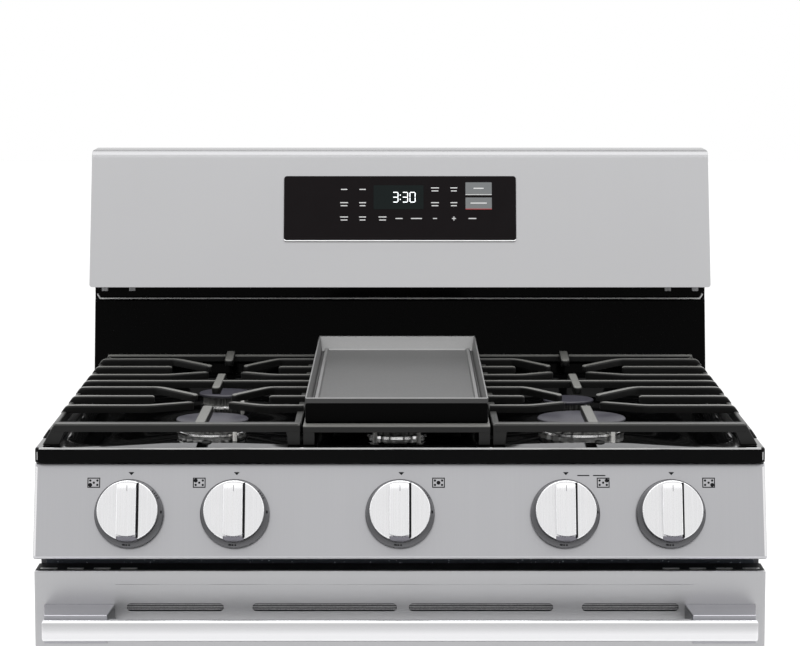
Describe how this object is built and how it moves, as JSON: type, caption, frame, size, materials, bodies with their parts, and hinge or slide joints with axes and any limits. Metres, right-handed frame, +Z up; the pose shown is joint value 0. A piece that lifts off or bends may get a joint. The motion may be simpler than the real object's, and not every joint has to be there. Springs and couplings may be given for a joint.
{
  "type": "gas range",
  "caption": "Free-standing household gas range with a rear control, cast grates, a centre griddle, a drop-down oven door, sliding racks and a storage drawer.",
  "frame": {"origin": "on the floor under the middle of the range's outline", "axes": "+X to the right as seen from the front, +Y towards the wall, +Z up"},
  "size_m": [0.759, 0.734, 1.195],
  "materials": {
    "stainless": "satin, fine vertical grain",
    "handle_metal": "bright satin",
    "knob_metal": "bright satin with a dark skirt",
    "burner_aluminium": "cast and machined",
    "cap_enamel": "matte dark blue-grey enamel",
    "black_enamel": "gloss porcelain enamel",
    "oven_enamel": "gloss speckled enamel",
    "grate_iron": "matte enamelled cast iron",
    "griddle_iron": "satin cast",
    "side_paint": "semi-gloss dark grey",
    "zinc_sheet": "galvanised, spangled",
    "door_glass": "dark tinted",
    "inner_glass": "clear",
    "control_glass": "black gloss",
    "brass": "machined",
    "steel": "plated",
    "black_plastic": "moulded"
  },
  "bodies": {
    "body": {"side_panel_left": "side_paint", "side_panel_right": "side_paint", "back_panel": "zinc_sheet", "base_frame": "black_enamel", "foot_front_left": "black_plastic", "foot_front_right": "black_plastic", "foot_rear_left": "black_plastic", "foot_rear_right": "black_plastic", "cooktop_panel": "black_enamel", "control_panel": "stainless", "gas_manifold": "burner_aluminium", "gas_regulator": "brass", "burner_valve_left_front": "brass", "burner_valve_left_rear": "brass", "burner_valve_centre": "brass", "burner_valve_right_rear": "brass", "burner_valve_right_front": "brass", "burner_head_left_front": "burner_aluminium", "burner_head_left_rear": "burner_aluminium", "burner_head_centre": "burner_aluminium", "burner_head_right_rear": "burner_aluminium", "burner_head_right_front": "burner_aluminium", "burner_cap_left_front": "cap_enamel", "burner_cap_left_rear": "cap_enamel", "burner_cap_centre": "cap_enamel", "burner_cap_right_rear": "cap_enamel", "burner_cap_right_front": "cap_enamel", "oven_liner": "oven_enamel", "bake_burner": "burner_aluminium", "broil_burner": "steel", "fan_cover": "oven_enamel", "hinge_left": "steel", "hinge_right": "steel", "backguard_shell": "stainless", "display_glass": "control_glass", "backguard_riser": "black_enamel"},
    "door": {"door_skin": "stainless", "door_window": "door_glass", "door_liner": "oven_enamel", "door_inner_glass": "inner_glass", "door_handle": "handle_metal"},
    "drawer": {"drawer_front": "stainless", "drawer_box": "zinc_sheet"},
    "rack_upper": {"rack_upper": "steel"},
    "rack_lower": {"rack_lower": "steel"},
    "fan": {"convection_fan": "steel"},
    "grate_left": {"grate_left": "grate_iron"},
    "grate_right": {"grate_right": "grate_iron"},
    "grate_centre": {"grate_centre": "grate_iron"},
    "griddle": {"griddle": "griddle_iron"},
    "stem_left_front": {"valve_stem_left_front": "steel"},
    "knob_left_front": {"knob_left_front": "knob_metal"},
    "stem_left_rear": {"valve_stem_left_rear": "steel"},
    "knob_left_rear": {"knob_left_rear": "knob_metal"},
    "stem_centre": {"valve_stem_centre": "steel"},
    "knob_centre": {"knob_centre": "knob_metal"},
    "stem_right_rear": {"valve_stem_right_rear": "steel"},
    "knob_right_rear": {"knob_right_rear": "knob_metal"},
    "stem_right_front": {"valve_stem_right_front": "steel"},
    "knob_right_front": {"knob_right_front": "knob_metal"}
  },
  "joints": [
    {"name": "door_hinge", "type": "hinge", "parent": "body", "child": "door", "pos_m": [0, -0.284, 0.247], "axis": [1, 0, 0], "range_deg": [0, 90], "stiffness_Nm_per_rad": 10, "springref_deg": -17.19},
    {"name": "fan_spin", "type": "hinge", "parent": "body", "child": "fan", "pos_m": [0, 0.215, 0.5425], "axis": [0, -1, 0], "continuous": true},
    {"name": "drawer_slide", "type": "slide", "parent": "body", "child": "drawer", "axis": [0, -1, 0], "range_m": [0, 0.38]},
    {"name": "rack_lower_slide", "type": "slide", "parent": "body", "child": "rack_lower", "axis": [0, -1, 0], "range_m": [0, 0.02]},
    {"name": "rack_upper_slide", "type": "slide", "parent": "body", "child": "rack_upper", "axis": [0, -1, 0], "range_m": [0, 0.02]},
    {"name": "grate_left_lift", "type": "slide", "parent": "body", "child": "grate_left", "axis": [0, 0, 1], "range_m": [0, 0.08]},
    {"name": "grate_right_lift", "type": "slide", "parent": "body", "child": "grate_right", "axis": [0, 0, 1], "range_m": [0, 0.08]},
    {"name": "grate_centre_lift", "type": "slide", "parent": "body", "child": "grate_centre", "axis": [0, 0, 1], "range_m": [0, 0.03]},
    {"name": "griddle_lift", "type": "slide", "parent": "grate_centre", "child": "griddle", "axis": [0, 0, 1], "range_m": [0, 0.03]},
    {"name": "turn_left_front", "type": "hinge", "parent": "body", "child": "stem_left_front", "pos_m": [-0.2805, -0.30056, 0.852], "axis": [0, -0.9461, 0.3239], "range_deg": [0, 210]},
    {"name": "press_left_front", "type": "slide", "parent": "stem_left_front", "child": "knob_left_front", "axis": [0, 0.9461, -0.3239], "range_m": [0, 0.003], "stiffness_N_per_m": 1500, "springref_m": -0.002},
    {"name": "turn_left_rear", "type": "hinge", "parent": "body", "child": "stem_left_rear", "pos_m": [-0.171, -0.30056, 0.852], "axis": [0, -0.9461, 0.3239], "range_deg": [0, 210]},
    {"name": "press_left_rear", "type": "slide", "parent": "stem_left_rear", "child": "knob_left_rear", "axis": [0, 0.9461, -0.3239], "range_m": [0, 0.003], "stiffness_N_per_m": 1500, "springref_m": -0.002},
    {"name": "turn_centre", "type": "hinge", "parent": "body", "child": "stem_centre", "pos_m": [0, -0.30056, 0.852], "axis": [0, -0.9461, 0.3239], "range_deg": [0, 210]},
    {"name": "press_centre", "type": "slide", "parent": "stem_centre", "child": "knob_centre", "axis": [0, 0.9461, -0.3239], "range_m": [0, 0.003], "stiffness_N_per_m": 1500, "springref_m": -0.002},
    {"name": "turn_right_rear", "type": "hinge", "parent": "body", "child": "stem_right_rear", "pos_m": [0.171, -0.30056, 0.852], "axis": [0, -0.9461, 0.3239], "range_deg": [0, 210]},
    {"name": "press_right_rear", "type": "slide", "parent": "stem_right_rear", "child": "knob_right_rear", "axis": [0, 0.9461, -0.3239], "range_m": [0, 0.003], "stiffness_N_per_m": 1500, "springref_m": -0.002},
    {"name": "turn_right_front", "type": "hinge", "parent": "body", "child": "stem_right_front", "pos_m": [0.2805, -0.30056, 0.852], "axis": [0, -0.9461, 0.3239], "range_deg": [0, 210]},
    {"name": "press_right_front", "type": "slide", "parent": "stem_right_front", "child": "knob_right_front", "axis": [0, 0.9461, -0.3239], "range_m": [0, 0.003], "stiffness_N_per_m": 1500, "springref_m": -0.002}
  ]
}
